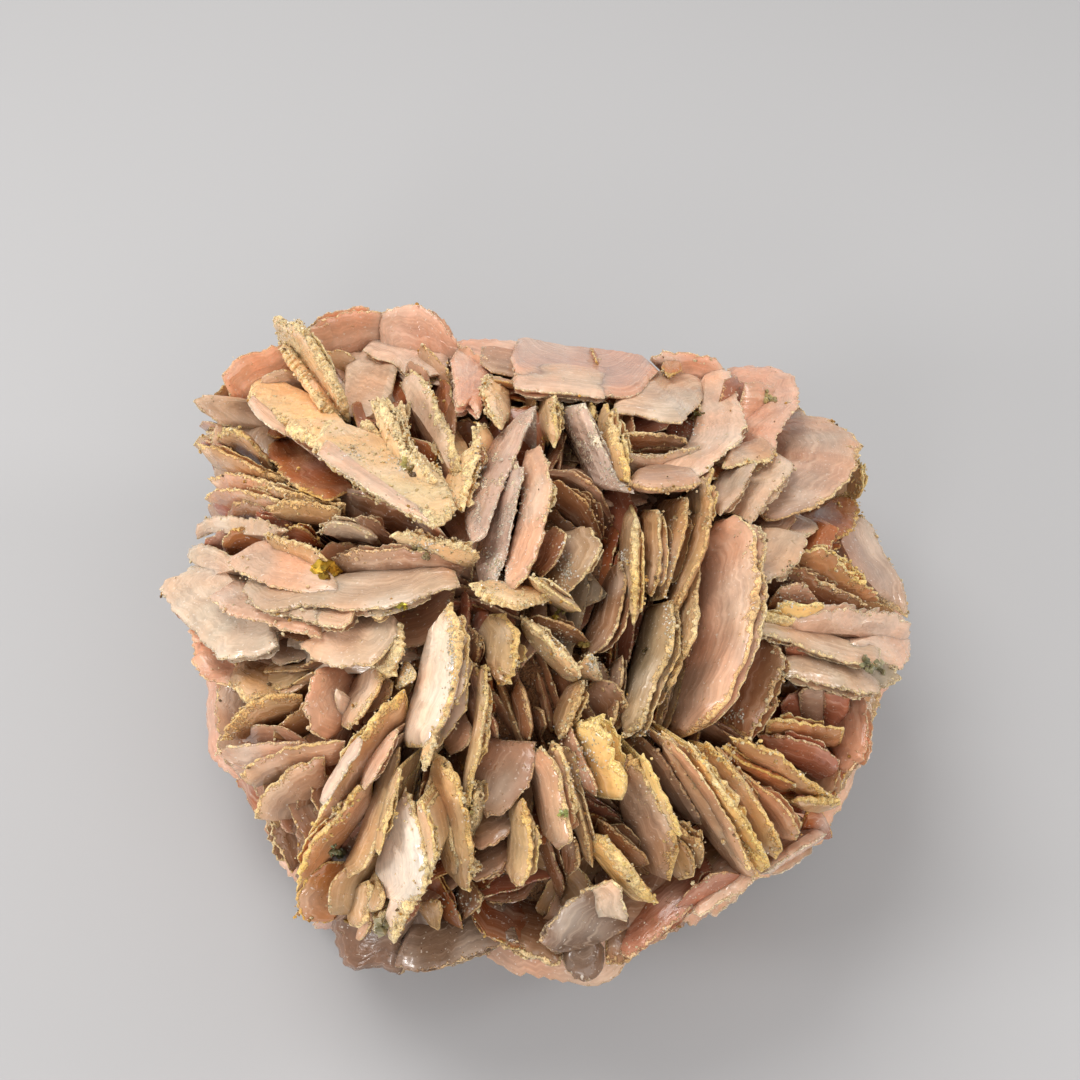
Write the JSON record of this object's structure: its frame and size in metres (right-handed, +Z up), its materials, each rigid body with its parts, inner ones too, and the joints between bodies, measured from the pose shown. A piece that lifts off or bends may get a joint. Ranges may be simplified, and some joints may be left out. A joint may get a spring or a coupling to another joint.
{
  "type": "sand rose",
  "caption": "Sand rose: a flattened dome of intergrown thin crystal blades, pale pink and tan with ochre crusted rims, cut flat below to rest on.",
  "frame": {"origin": "centre of the flat rest face's plane below the middle of the cluster", "axes": "+Z up out of the rest face, +X along the long side seen from the front, +Y away from the front"},
  "size_m": [0.0952, 0.0949, 0.0534],
  "materials": {
    "gypsum": "matte with waxy blade faces"
  },
  "bodies": {
    "root": {"sand_rose": "gypsum"}
  },
  "joints": []
}
